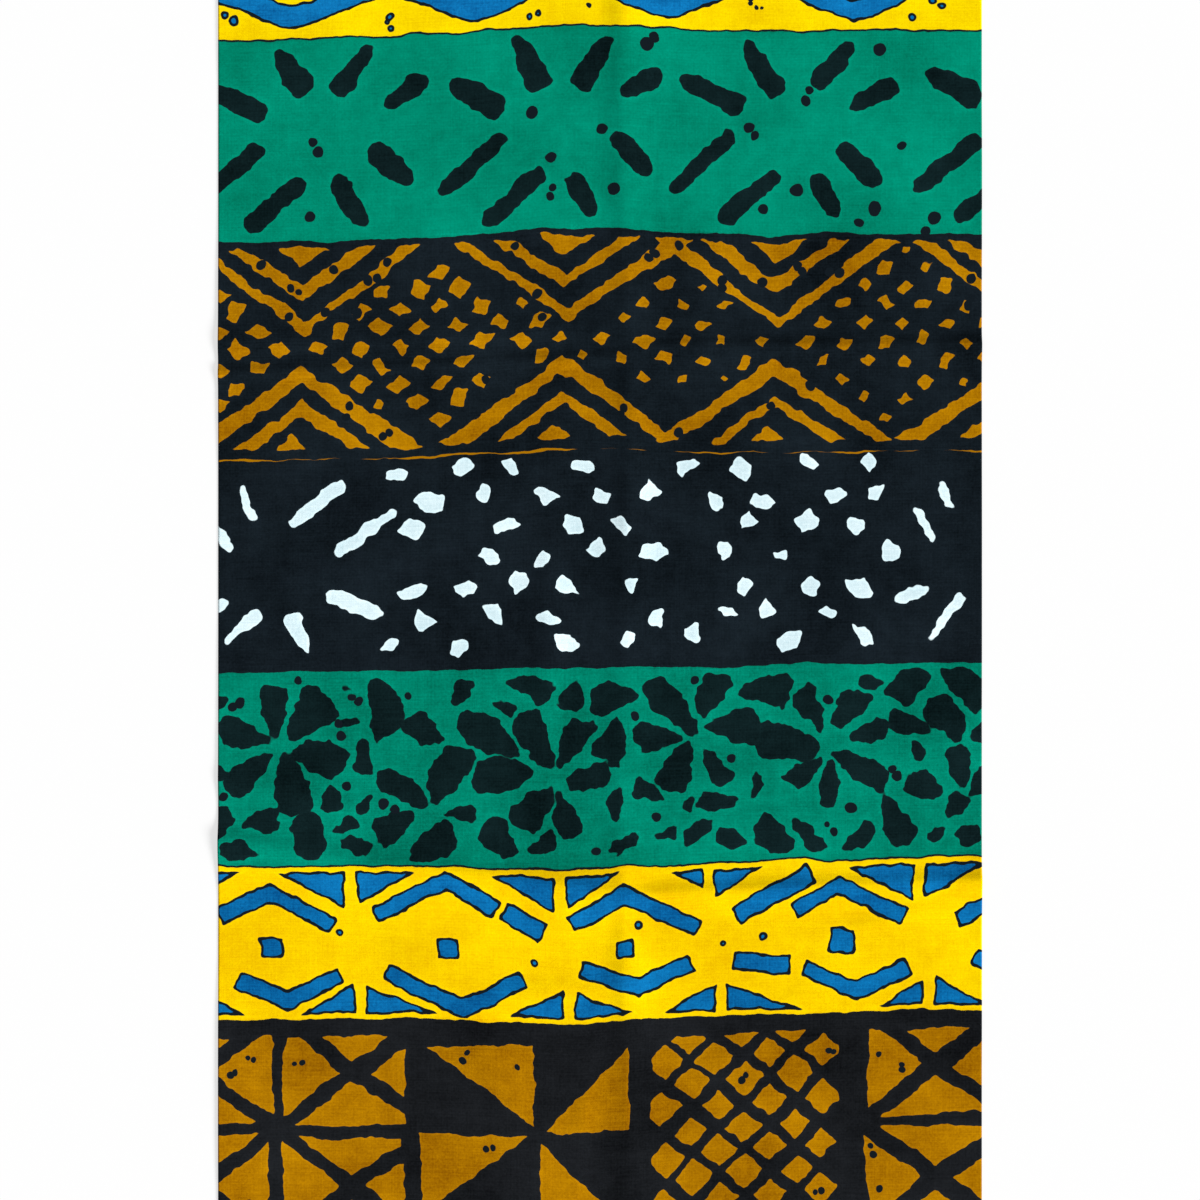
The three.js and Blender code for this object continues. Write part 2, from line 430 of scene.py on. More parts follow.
def latticeSquares(band, apexes, strips, dice):
    # slanting squares on a shaken lattice, clear of every strip and of the band's edges
    top, bottom, pitch = band["top"], band["bottom"], lattice["pitch"]
    rows = int((top - bottom) / lattice["rowPitch"])
    columns = np.arange(-halfWidth - pitch, halfWidth + pitch, pitch)
    u = np.concatenate([columns + pitch / 2 * (row % 2) for row in range(rows)])
    v = np.repeat(top - lattice["first"] - lattice["rowPitch"] * np.arange(rows), len(columns))
    u, v = (at + dice.uniform(-1, 1, len(at)) * shake for at, shake in zip((u, v), lattice["shake"]))
    outside = depth(u, v, strips)
    free = (v > bottom + lattice["clearBelow"]) & (v < top - lattice["clearAbove"])
    free &= outside > lattice["clear"]
    downSlope, upSlope = np.tan(np.radians((nested["downTurn"], -nested["upTurn"])))
    for down, up in apexes:
        free &= (v < down[1] + downSlope * abs(u - down[0])) & (v > up[1] + upSlope * abs(u - up[0]))
    found = []
    for place in np.flatnonzero(free):
        if dice.random() < lattice["missing"]:
            continue
        room = min(1, (outside[place] - lattice["margin"]) / lattice["square"])
        size = lattice["square"] * room * dice.uniform(*lattice["size"])
        if u[place] > lattice["pinchedFrom"]:
            size *= lattice["pinch"]
        long, short = size * dice.uniform(*lattice["long"]), size * dice.uniform(*lattice["short"])
        lean = dice.uniform(-1, 1, 2) * lattice["lean"] * size
        points = [(long, lean[0]), (lean[1], short), (-long, -lean[0]), (-lean[1], -short)]
        points = turned(points, (u[place], v[place]), dice.uniform(*lattice["turn"]))
        found.append(polygon(points, lattice["soft"]))
    return found


def nestedBand(band, dice):
    top, bottom = band["top"], band["bottom"]
    topLevel, bottomLevel = top - nested["topCut"], bottom + nested["bottomCut"]
    downTurn, upTurn = nested["downTurn"], -nested["upTurn"]
    motifs, apexes = [], []
    for u in nested["apexes"]:
        shakes = dice.uniform(-1, 1, (2, 2)) * nested["apexShake"]
        down = (u, top - nested["outerDrop"]) + shakes[0]
        up = (u + nested["shift"], bottom + nested["outerRise"]) + shakes[1]
        apexes.append((down, up))
        innerDown = (down[0] + nested["shift"], top - nested["innerDrop"])
        innerUp = (up[0], bottom + nested["innerRise"])
        for apex, turn, thick, level, towards in (
            (down, downTurn, nested["outerThick"], topLevel, 1),
            (innerDown, downTurn + nested["innerLean"], nested["innerThick"], topLevel, 1),
            (up, upTurn, nested["upThick"], bottomLevel, -1),
            (innerUp, upTurn, nested["innerUpThick"], bottomLevel, -1),
        ):
            level += dice.uniform(-1, 1) * nested["levelShake"]
            motifs += bentStrip(np.array(apex), turn, thick, dice, level, towards)
        motifs += innerShapes(u, topLevel, bottomLevel, dice)
    motifs += latticeSquares(band, apexes, motifs, dice)
    return motifs, sprinkle(band, dice, motifs, count=26, least=-5.2, most=-1.6, radii=(2.6, 3.3), twins=0.5)


# Pale strokes at both ends of a field of loose pebbles
pebbleField = dict(
    left=-122, right=178, pitch=35, rowPitch=17.4, shake=(7, 3.2), first=11, missing=0.08,
    clear=3.5, clearBelow=3, halfLong=(5.4, 8.8), halfBroad=(4.6, 6.8), turn=(-40, 25),
    fewestCorners=4, stagger=0.3, out=(0.74, 1.42), soft=3.0, burstDrop=4,
)


def pebble(centre, turn, halfLong, halfBroad, dice):
    # four or five corners round an oval, each out by its own share
    count = dice.integers(pebbleField["fewestCorners"], sideCount + 1)
    stagger = dice.uniform(-1, 1, count) * pebbleField["stagger"]
    angle = fullTurn * (np.arange(count) + stagger) / count
    out = dice.uniform(*pebbleField["out"], count)
    points = np.stack([halfLong * out * np.cos(angle), halfBroad * out * np.sin(angle)], 1)
    return polygon(turned(points, centre, turn), pebbleField["soft"])


def pebbleBand(band, dice):
    middle = (band["top"] + band["bottom"]) / 2 - pebbleField["burstDrop"]
    motifs = []
    for u in paleBursts["centres"]:
        motifs += burst((u, middle), paleStrokes, paleBursts, dice)
    for row in range(int((band["top"] - band["bottom"]) / pebbleField["rowPitch"])):
        start = pebbleField["left"] + pebbleField["pitch"] / 2 * (row % 2)
        for u in np.arange(start, pebbleField["right"], pebbleField["pitch"]):
            place = np.array([u, band["top"] - pebbleField["first"] - pebbleField["rowPitch"] * row])
            place += dice.uniform(-1, 1, 2) * pebbleField["shake"]
            halfLong = dice.uniform(*pebbleField["halfLong"])
            halfBroad = dice.uniform(*pebbleField["halfBroad"])
            shape = pebble(place, dice.uniform(*pebbleField["turn"]), halfLong, halfBroad, dice)
            crowded = depth(*place[:, None], motifs)[0] < halfLong + pebbleField["clear"]
            tooLow = place[1] - halfBroad < band["bottom"] + pebbleField["clearBelow"]
            if not (crowded or tooLow or dice.random() < pebbleField["missing"]):
                motifs.append(shape)
    return motifs, []


# Leaves round a few centres and at loose places between them. Each has five corners that are
# moved out along their own directions until they would come too close to another leaf, or lie a
# little over it where its own gap is less than nothing.
whorls = table(
    "u drop petals ring",
    (-196, 46, 6, 25),
    (-106, 84, 5, 24),
    (-30, 64, 6, 25),
    (58, 40, 6, 24),
    (142, 50, 7, 25),
    (224, 86, 6, 25),
)
leaves = dict(
    angles=(0, 58, 144, 216, 302), longest=(31, 12.5, 23, 23, 12.5), first=0.17, step=0.042, rounds=26,
    tries=4000, apart=11.6, size=(0.62, 1.35), near=60, gap=(-1.6, 2.6), edge=2.8, soft=12.0, spread=0.7,
    fan=14, fullness=(0.8, 1.15), petalTurn=6, petalOut=(0.94, 1.08), petalSize=(0.9, 1.1), petalClear=10,
    clear=9, past=10, rimPlaces=6,
)


def sprouted(centre, turn, size, dice):
    # a leaf before it grows: which way its corners go, how far each has come and how far it may go
    fan = dice.uniform(-1, 1, sideCount) * leaves["fan"]
    angle = np.radians(turn + np.array(leaves["angles"]) + fan)
    most = np.array(leaves["longest"]) * dice.uniform(*leaves["fullness"], sideCount) * size
    out = np.stack([np.cos(angle), np.sin(angle)], 1)
    leaf = dict(centre=np.array(centre), out=out, size=size, gap=dice.uniform(*leaves["gap"]))
    return dict(leaf, most=most, reach=most * leaves["first"])


def sownLeaves(band, dice):
    # the petals of each whorl, and then loose leaves wherever there is room for one
    found = []
    for row in whorls:
        first = dice.uniform(0, 360)
        for petal in range(row["petals"]):
            turn = first + 360 * petal / row["petals"] + dice.uniform(-1, 1) * leaves["petalTurn"]
            out = np.array([np.cos(np.radians(turn)), np.sin(np.radians(turn))])
            ring = row["ring"] * dice.uniform(*leaves["petalOut"])
            centre = out * ring + (row["u"], band["top"] - row["drop"])
            if band["bottom"] + leaves["petalClear"] < centre[1] < band["top"] - leaves["petalClear"]:
                found.append(sprouted(centre, turn + 180, dice.uniform(*leaves["petalSize"]), dice))
    for _ in range(leaves["tries"]):
        u = dice.uniform(-halfWidth - leaves["past"], halfWidth + leaves["past"])
        centre = (u, dice.uniform(band["bottom"] + leaves["clear"], band["top"] - leaves["clear"]))
        size = dice.uniform(*leaves["size"])
        away = [np.hypot(*(leaf["centre"] - centre)) / (leaf["size"] + size) for leaf in found]
        if min(away) > leaves["apart"]:
            found.append(sprouted(centre, dice.uniform(0, 360), size, dice))
    return found


def measured(leaf, reach):
    # a leaf's sides, places along its rim, and whether it bulges outwards at every corner
    corners = leaf["centre"] + leaf["out"] * reach[:, None]
    along = np.roll(corners, -1, axis=0) - corners
    onward = np.roll(along, -1, axis=0)
    bulges = (along[:, 0] * onward[:, 1] > along[:, 1] * onward[:, 0]).all()
    share = np.linspace(0, 1, leaves["rimPlaces"] + 1)[:-1, None, None]
    rim = (corners + along * share).reshape(-1, 2)
    side = polygon(corners, leaves["soft"], -leaves["spread"])[0]
    return side, np.column_stack([rim, np.ones(len(rim))]), bulges


def grown(band, found):
    # the leaves' sides once every corner has had its turns to move out, a step at a time
    measures = [measured(leaf, leaf["reach"]) for leaf in found]
    sides, rims = (np.array([measure[part] for measure in measures]) for part in (0, 1))
    centres = np.array([leaf["centre"] for leaf in found])
    close = np.hypot(*(centres[:, None] - centres).T) < leaves["near"]
    for _ in range(leaves["rounds"]):
        for index, leaf in enumerate(found):
            rest = close[index] & (np.arange(len(found)) != index)
            for corner in range(sideCount):
                reach = leaf["reach"].copy()
                reach[corner] += leaves["step"] * leaf["most"][corner]
                side, rim, bulges = measured(leaf, reach)
                near = np.einsum("pk,msk->pms", rim, sides[rest]).max(2).min()
                near = min(near, np.einsum("mpk,sk->mps", rims[rest], side).max(2).min())
                edge = min(band["top"] - rim[:, 1].max(), rim[:, 1].min() - band["bottom"])
                free = near > leaf["gap"] and edge > leaves["edge"]
                if bulges and free and reach[corner] < leaf["most"][corner]:
                    leaf["reach"] = reach
                    sides[index], rims[index] = side, rim
    return sides


def leafBand(band, dice):
    motifs = [(side, leaves["soft"]) for side in grown(band, sownLeaves(band, dice))]
    return motifs, sprinkle(band, dice, motifs, count=17, least=3.9, most=20, radii=(2.5, 3.6), twins=0.35)


# Outlined lozenges: a strip bent upwards over one bent downwards, a small box between them, and a
# pair of right-angled triangles at the top and the bottom of each gap between two lozenges
lozenges = table(
    "u drop rise upperLeft upperRight lowerLeft lowerRight box",
    (-312, 12, 9, 40, 44, 42, 40, 12),
    (-203, 16.5, 11.5, 33, 43, 32, 37, 12.5),
    (-94.5, 9, 6.5, 49, 36, 51, 42, 12.5),
    (14, 17, 19, 36, 50, 38, 36, 9.5),
    (147, 16, 13, 31, 45, 34, 35, 14),
    (264, 15, 12, 50, 40, 48, 40, 12),
)
gaps = table(
    "u upperLeft upperRight lowerLeft lowerRight",
    (-262, 36, 36, 32, 34),
    (-153, 39, 34, 31, 42),
    (-24.5, 37, 31, 31, 33),
    (67.5, 19, 28, 29, 43),
    (196, 39, 37, 25, 30),
)
oddPieces = table(
    "u drop turn length breadth",
    (-47.6, 33, -27, 26, 11),
    (100, 62, -6, 34, 10.5),
    (106, 21, 28, 52, 11),
)
lozenge = dict(
    thick=9.8, upTurn=28, downTurn=25, lowerShift=10, soft=2.8, boxShift=(1.5, -3), boxSoft=3.0,
    upperCut=4.5, lowerCut=3.5, gap=4, upperTall=20, lowerTall=16, gapShift=6, steepness=0.56,
    turnShake=2.5, thickShake=(0.92, 1.1), boxShape=(1.04, 0.96), boxTurn=6, gapShake=(0.7, 1.2),
    tallShake=(0.92, 1.08), tipLean=0.6,
)


def lozengeBand(band, dice):
    top, bottom = band["top"], band["bottom"]
    soft, thick = lozenge["soft"], lozenge["thick"]
    motifs = []
    for row in lozenges:
        peak = np.array([row["u"], top - row["drop"]])
        dip = np.array([row["u"] + lozenge["lowerShift"], bottom + row["rise"]])
        for apex, slope, lengths in (
            (peak, -lozenge["upTurn"], (row["upperLeft"], row["upperRight"])),
            (dip, lozenge["downTurn"], (row["lowerLeft"], row["lowerRight"])),
        ):
            for direction, length in zip((180 - slope, slope), lengths):
                turn = direction + dice.uniform(-1, 1) * lozenge["turnShake"]
                motifs.append(arm(apex, turn, length, thick * dice.uniform(*lozenge["thickShake"]), soft))
        middle = np.array([row["u"], (top + bottom) / 2]) + lozenge["boxShift"]
        turn = dice.uniform(-1, 1) * lozenge["boxTurn"]
        motifs.append(bar(middle, turn, *(row["box"] * np.array(lozenge["boxShape"])), lozenge["boxSoft"]))
    for row in gaps:
        for edge, level, tall, shift, lengths in (
            (1, top - lozenge["upperCut"], lozenge["upperTall"], 0, (row["upperLeft"], row["upperRight"])),
            (-1, bottom + lozenge["lowerCut"], lozenge["lowerTall"], lozenge["gapShift"],
             (row["lowerLeft"], row["lowerRight"])),
        ):
            for side, length in zip((-1, 1), lengths):
                post = row["u"] + shift + side * lozenge["gap"] * dice.uniform(*lozenge["gapShake"])
                height = min(tall, length * lozenge["steepness"]) * dice.uniform(*lozenge["tallShake"])
                tip = (post + side * lozenge["tipLean"], level - edge * height)
                motifs.append(polygon([(post, level), (post + side * length, level), tip], soft))
    for row in oddPieces:
        motifs.append(bar((row["u"], top - row["drop"]), row["turn"], row["length"], row["breadth"], soft))
    return motifs, sprinkle(band, dice, motifs, count=5, least=4, most=16, radii=(1.8, 2.9), twins=0)


# Broad bent strips side by side, the upper half hidden past the picture's edge
waves = dict(
    first=-419.3, pitch=115.2, count=7, rise=12.2, drop=13, shift=4, thick=12.2, turn=20.6, reach=51,
    blunt=5.6, soft=3.5, box=14, boxSoft=2, lowStrip=26,
    reachShake=4, thickShake=(0.92, 1.08), turnShake=1.5, boxTurn=6,
)


def waveBand(band, dice):
    motifs = []
    middle = (band["top"] + band["bottom"]) / 2
    for index in range(waves["count"]):
        u = waves["first"] + waves["pitch"] * index
        for apex, slope, towards in (
            ((u, band["bottom"] + waves["rise"]), waves["turn"], -1),
            ((u + waves["shift"], band["top"] - waves["drop"]), -waves["turn"], 1),
        ):
            level = apex[1] + towards * waves["blunt"]
            for direction in (slope, 180 - slope):
                reach = waves["reach"] + dice.uniform(-1, 1) * waves["reachShake"]
                thick = waves["thick"] * dice.uniform(*waves["thickShake"])
                direction += dice.uniform(-1, 1) * waves["turnShake"]
                motifs.append(arm(np.array(apex), direction, reach, thick, waves["soft"], level, towards))
        turn = dice.uniform(-1, 1) * waves["boxTurn"]
        motifs.append(bar((u, middle), turn, waves["box"], waves["box"], waves["boxSoft"]))
    spots = sprinkle(band, dice, motifs, count=14, least=5, most=16, radii=(1.2, 1.9))
    lowStrip = dict(band, top=band["bottom"] + waves["lowStrip"])
    spots += sprinkle(lowStrip, dice, motifs, count=7, least=4.6, most=12, radii=(1.4, 3.6), twins=0.5)
    return motifs, spots


# Panels of triangles and squares, side by side. left and right are how far a panel reaches from
# its centre.
panelRows = dict(
    lower=table(
        "kind u left right",
        ("star", -198.5, 83.5, 83.5),
        ("pinwheel", -38.5, 76.5, 61),
        ("lattice", 88, 62, 63),
        ("halfStar", 160, 0, 83.5),
    ),
    upper=table(
        "kind u left right",
        ("lattice", -176, 62, 66),
        ("star", -22, 83.5, 83.5),
        ("pinwheel", 140, 76, 72),
        ("star", 300, 83.5, 83.5),
    ),
)
panel = dict(
    centreDrop=68, half=62, line=5.1, edge=3, crossing=0.56, starShift=14, starDrop=10, shake=1.6,
    tallTip=(1.8, 3.6), wideTip=(4.6, 1.7),  # how far past the hub a star's wedges would meet
    starSoft=2.0, pinwheelLine=1.9, pinwheelSoft=1.6, sailDrop=4,
)
# The slanting squares: those that lie too far out or in a corner are left out
squares = dict(
    across=(16.4, -13.3), down=(-16.0, -15.4), share=0.35, size=(0.88, 1.08), count=5, shake=1.3, soft=1.8,
    outMost=4, cornerMost=-6,
)


def starPanel(row, middle, sides, dice):
    # spokes to the corners and the sides, crossed by four lines from side to side, all in black
    motifs = []
    for across in sides:
        for up in (1, -1):
            width, height = row["right"] * across, panel["half"] * up
            tallTip, wideTip = (np.array(panel[tip]) * (-across, -up) for tip in ("tallTip", "wideTip"))
            corner, cross = (width, height), (panel["crossing"] * width, panel["crossing"] * height)
            top, topCut = (0, height), (panel["starShift"] * across, height)
            side, sideCut = (width, 0), (width, panel["starDrop"] * up)
            for points in (
                (tallTip, top, topCut, cross),
                (wideTip, cross, sideCut, side),
                (topCut, corner, cross),
                (cross, corner, sideCut),
            ):
                shake = dice.uniform(-panel["shake"], panel["shake"], (len(points), 2))
                motifs.append(polygon(np.array(points) + shake + middle, panel["starSoft"], panel["line"]))
    return motifs


def pinwheelPanel(row, middle):
    # four sails, each from the centre to a corner and on to the middle of a side
    left, right = panel["edge"] - row["left"], row["right"] - panel["edge"]
    half = panel["half"] - panel["line"]
    sails = (
        ((left, half - panel["sailDrop"]), (0, half), (0, 0)),
        ((0, 0), (right, half), (right, 0)),
        ((0, 0), (right, -half), (0, -half)),
        ((0, 0), (left, 0), (left, -half)),
    )
    return [polygon(np.array(sail) + middle, panel["pinwheelSoft"], panel["pinwheelLine"]) for sail in sails]


def latticePanel(row, middle, dice):
    # slanting squares on two slanting axes, cut off at the panel's sides
    across, down = np.array(squares["across"]), np.array(squares["down"])
    left, right = panel["line"] - row["left"], row["right"] - panel["line"]
    half = panel["half"] - panel["line"]
    motifs = []
    for i in range(-squares["count"], squares["count"] + 1):
        for j in range(-squares["count"], squares["count"] + 1):
            centre = i * across + j * down + dice.uniform(-squares["shake"], squares["shake"], 2)
            beyond = [centre[0] - right, left - centre[0], centre[1] - half, -half - centre[1]]
            if max(beyond) > squares["outMost"] or sorted(beyond)[-2] > squares["cornerMost"]:
                continue
            share = squares["share"] * dice.uniform(*squares["size"])
            points = [centre + share * (a * across + b * down) for a in (1, -1) for b in (1, -1)]
            sides, soft = polygon(np.array(points) + middle, squares["soft"])
            cuts = (
                (1, 0, -(right + middle[0])),
                (-1, 0, left + middle[0]),
                (0, 1, -(half + middle[1])),
                (0, -1, -half + middle[1]),
            )
            sides[-1] = cuts[int(np.argmax(beyond))]  # a square has four sides, so the last one is spare
            motifs.append((sides, soft))
    return motifs


def panelBand(band, dice):
    motifs = []
    for row in panelRows[band["row"]]:
        middle = np.array([row["u"], band["top"] - panel["centreDrop"]])
        if row["kind"] == "star":
            motifs += starPanel(row, middle, (1, -1), dice)
        elif row["kind"] == "halfStar":
            motifs += starPanel(row, middle, (1,), dice)
        elif row["kind"] == "pinwheel":
            motifs += pinwheelPanel(row, middle)
        else:
            motifs += latticePanel(row, middle, dice)
    return motifs, sprinkle(band, dice, motifs, count=15, least=-12, most=-4.2, radii=(1.8, 2.4), twins=0.75)


# The inks, each as red, green and blue out of 255
inks = dict(
    black=(20, 28, 34),
    greenBlack=(14, 31, 33),
    brownBlack=(26, 28, 31),
    ochre=(174, 117, 2),
    green=(0, 139, 111),
    leafGreen=(0, 131, 106),
    yellow=(255, 211, 0),
    paleYellow=(255, 220, 0),
    blue=(13, 113, 178),
    deepBlue=(11, 107, 170),
    white=(223, 246, 252),
    cotton=(226, 219, 200),
)
# How strongly the dye's unevenness shows in each ink
stirs = dict(
    black=2.3, greenBlack=2.3, brownBlack=2.3, ochre=2.0, green=1.37, leafGreen=1.85,
    yellow=1.65, paleYellow=1.65, blue=2.35, deepBlue=2.35, white=1.7,
)

# The bands from the top down. hand is how unsteady the edges of a band's motifs are, line the ink
# of the thin line drawn along its top edge, and row which of the panelRows it shows.
bands = table(
    "name maker top bottom ground ink hand seed line row",
    ("topPanels", panelBand, 600, 440, "brownBlack", "ochre", 0.8, 11, None, "upper"),
    ("waves", waveBand, 440, 346.5, "paleYellow", "blue", 0.7, 12, None, None),
    ("bursts", burstBand, 346.5, 222, "green", "greenBlack", 1.0, 13, "black", None),
    ("nested", nestedBand, 222, 89.6, "black", "ochre", 1.15, 14, None, None),
    ("pebbles", pebbleBand, 89.6, -41.4, "black", "white", 1.15, 15, "ochre", None),
    ("leaves", leafBand, -41.4, -160.5, "leafGreen", "greenBlack", 1.45, 33, None, None),
    ("lozenges", lozengeBand, -160.5, -254, "yellow", "deepBlue", 0.7, 17, "black", None),
    ("panels", panelBand, -254, -390, "brownBlack", "ochre", 0.8, 18, None, "lower"),
    ("lastBursts", burstBand, -390, -514, "green", "greenBlack", 1.0, 19, None, None),
    ("lastPebbles", pebbleBand, -514, -600, "black", "white", 1.15, 20, None, None),
)
nearest = dict(motifs=3, spots=2, facesAtOnce=2000)

for band in bands:
    band["motifs"], band["spots"] = band["maker"](band, np.random.default_rng(band["seed"]))
print("print laid out:", ", ".join(f"{band['name']} {len(band['motifs'])}" for band in bands))


def layPrint(mesh, u, v):
    # every face carries the sides of the motifs nearest to it and the spots nearest to it, so that
    # the ink can be worked out at any fineness. It also carries how round the motifs' corners are,
    # how unsteady the hand is, and how lively the ground and the ink are.
    here = np.stack([u, v, np.ones_like(u)], 1)
    sides = np.tile(noMotif, (len(u), nearest["motifs"], sideCount, 1))
    spots = np.tile(noSide, (len(u), nearest["spots"], 1))
    hand, stir = np.ones((len(u), 3)), np.ones((len(u), 3))
    for band in bands:
        faces = np.flatnonzero((v <= band["top"]) & (v > band["bottom"]))
        hand[faces, 1] = band["hand"]
        stir[faces, :2] = stirs[band["ground"]], stirs[band["ink"]]
        shapes = np.array([motif[0] for motif in band["motifs"]])
        corners = np.array([motif[1] for motif in band["motifs"]])
        for part in np.array_split(faces, max(1, len(faces) // nearest["facesAtOnce"])):
            away = np.einsum("pk,msk->pms", here[part], shapes).max(2)
            closest = np.argsort(away, axis=1)[:, : nearest["motifs"]]
            sides[part] = shapes[closest]
            hand[part, 0] = corners[closest[:, 0]]
            if len(band["spots"]):
                circles = np.array(band["spots"])
                away = np.hypot(u[part, None] - circles[:, 0], v[part, None] - circles[:, 1]) - circles[:, 2]
                order = np.argsort(away, axis=1)[:, : nearest["spots"]]
                spots[part, : order.shape[1]] = circles[order]
    carried = {}
    for motif in range(nearest["motifs"]):
        for side in range(sideCount):
            carried[f"motif{motif}side{side}"] = sides[:, motif, side]
    for spot in range(nearest["spots"]):
        carried[f"spot{spot}"] = spots[:, spot]
    carried.update(hand=hand, stir=stir)
    for name, values in carried.items():
        mesh.attributes.new(name, "FLOAT_VECTOR", "FACE").data.foreach_set("vector", values.ravel())


class Wire:
    # a socket that takes part in sums as a number does: each sum adds one Math node
    def __init__(self, finish, socket):
        self.finish, self.socket = finish, socket

    def __add__(self, other):
        return self.finish.math("ADD", self, other)

    def __radd__(self, other):
        return self.finish.math("ADD", other, self)

    def __sub__(self, other):
        return self.finish.math("SUBTRACT", self, other)

    def __rsub__(self, other):
        return self.finish.math("SUBTRACT", other, self)

    def __mul__(self, other):
        return self.finish.math("MULTIPLY", self, other)

    def __rmul__(self, other):
        return self.finish.math("MULTIPLY", other, self)

    def __truediv__(self, other):
        return self.finish.math("DIVIDE", self, other)

    def __neg__(self):
        return self.finish.math("MULTIPLY", self, -1.0)

    def __abs__(self):
        return self.finish.math("ABSOLUTE", self)


class Finish:
    # a material under construction
    def __init__(self, name):
        self.material = bpy.data.materials.new(name)
        self.material.use_nodes = True
        self.tree = self.material.node_tree
        self.tree.nodes.clear()

    def node(self, kind, settings=None, inputs=None, output=0):
        node = self.tree.nodes.new(kind)
        for key, value in (settings or {}).items():
            setattr(node, key, value)
        for key, value in (inputs or {}).items():
            if isinstance(value, Wire):
                self.tree.links.new(value.socket, node.inputs[key])
            else:
                node.inputs[key].default_value = value
        return Wire(self, node.outputs[output]) if node.outputs else None

    def math(self, operation, *values):
        return self.node("ShaderNodeMath", dict(operation=operation), dict(enumerate(values)))

    def vector(self, operation, *values, output=0):
        return self.node("ShaderNodeVectorMath", dict(operation=operation), dict(enumerate(values)), output)

    def part(self, vector, index):
        return self.node("ShaderNodeSeparateXYZ", None, {0: vector}, index)

    def scaled(self, vector, factor):
        return self.node("ShaderNodeVectorMath", dict(operation="SCALE"), {"Vector": vector, "Scale": factor})

    def mix(self, factor, first, second):
        settings = dict(data_type="RGBA", clamp_factor=True)
        return self.node("ShaderNodeMix", settings, {0: factor, 6: first, 7: second}, 2)

    def noise(self, place, across, detail=2.0, output=0):
        # clouds about this many millimetres across, from 0 to 1
        inputs = {"Vector": place, "Scale": 1 / across, "Detail": detail}
        return self.node("ShaderNodeTexNoise", None, inputs, output)

    def within(self, distance, soft):
        # 1 inside the edge and 0 outside it, over a short ramp
        return self.node("ShaderNodeClamp", None, {"Value": 0.5 - distance / soft})

    def carried(self, name):
        # the vector that each face carries under this name
        return self.node("ShaderNodeAttribute", dict(attribute_name=name), None, 1)

    def surface(self, inputs):
        shader = self.node("ShaderNodeBsdfPrincipled", None, inputs)
        self.node("ShaderNodeOutputMaterial", None, {"Surface": shader})


def linear(name):
    # an ink as the eye sees it on a screen, made linear for the renderer
    value = np.array(inks[name]) / 255
    value = np.where(value <= 0.04045, value / 12.92, ((value + 0.055) / 1.055) ** 2.4)
    return (*(float(part) for part in value), 1.0)


printed = dict(
    bleed=0.25,  # how soft an ink's edge is, in mm
    outline=1.65,  # how wide the drawn line round a blue shape is
    flow=3.0,  # how far apart two shapes can be and still run into each other
    sweep=(26.0, 5.0),  # the slow wander of every edge: its length and strength
    lumps=(8.0, 5.2),  # the quicker one that the hand adds
    calm=0.4,  # the share of the lumps that reaches the spots and the bands' edges
    rag=(2.6, 0.42),  # and the finest, the same everywhere
    halo=(2.6, 0.15),  # the paler rim of the ground round a motif: width and strength
    lip=(1.7, 0.16),  # the same of the motif itself, inside its edge
    selvedge=(8.0, 1.2),  # the bare cotton at the two ends, and how soft its edge is
)
drawnLines = dict(
    black=dict(drop=0.0, width=1.25, breaks=0.0),
    ochre=dict(drop=-1.4, width=1.9, breaks=9.0),
)
breaks = dict(scale=(1, 0.2, 0), across=46.0, level=0.46)

# How uneven the dye is: the strengths of its slubs, grain, blotches and broad patches, and their
# sizes in mm. A slub is a cloud drawn out along one way of the weave, so it has a scale instead.
# heed is how far a dark colour follows all this, and spared how much less a bright one does.
dye = dict(
    weft=0.26, warp=0.17, grain=0.32, blotches=0.32, patches=0.56,
    weftScale=(0.035, 1.1, 1), warpScale=(1.2, 0.03, 1), grainSize=1.5, blotchSize=9.0, patchSize=60.0,
    heed=1.2, spared=0.85,
)
weave = dict(
    thread=0.36, threadRise=0.25, weftRise=0.9, warpRise=0.7, bump=0.35, bumpDepth=0.00016,
    roughness=0.74, roughnessSpread=0.12, specular=0.0, sheen=0.02, sheenRoughness=0.45,
)


def unsteadyPlaces(finish, flat, unsteadiness):
    # each place moved by slow and fine wanderings, and by quick ones as strong as the hand is
    # unsteady. The spots and the bands' edges, which are calmer, have their own.
    def wander(name, detail):
        across, strength = printed[name]
        cloud = finish.noise(flat, across, detail, 1)
        centred = finish.vector("MULTIPLY", finish.vector("SUBTRACT", cloud, (0.5, 0.5, 0)), (1, 1, 0))
        return finish.scaled(centred, strength)

    lumps = wander("lumps", 1.0)
    steady = finish.vector("ADD", flat, wander("sweep", 1.0))
    steady = finish.vector("ADD", steady, wander("rag", 0.0))
    place = finish.vector("ADD", steady, finish.scaled(lumps, unsteadiness))
    calm = finish.vector("ADD", steady, finish.scaled(lumps, printed["calm"]))
    return place, calm


def motifDistance(finish, place, softness):
    # how far outside the nearest motif: the lowest of a few rounded shapes, where two that all but
    # touch run into each other
    here = finish.vector("ADD", finish.vector("MULTIPLY", place, (1, 1, 0)), (0, 0, 1))
    shape = None
    for motif in range(nearest["motifs"]):
        outside = None
        for side in range(sideCount):
            line = finish.carried(f"motif{motif}side{side}")
            distance = finish.vector("DOT_PRODUCT", here, line, output=1)
            outside = distance if outside is None else finish.math("SMOOTH_MAX", outside, distance, softness)
        shape = outside if shape is None else finish.math("SMOOTH_MIN", shape, outside, printed["flow"])
    return shape


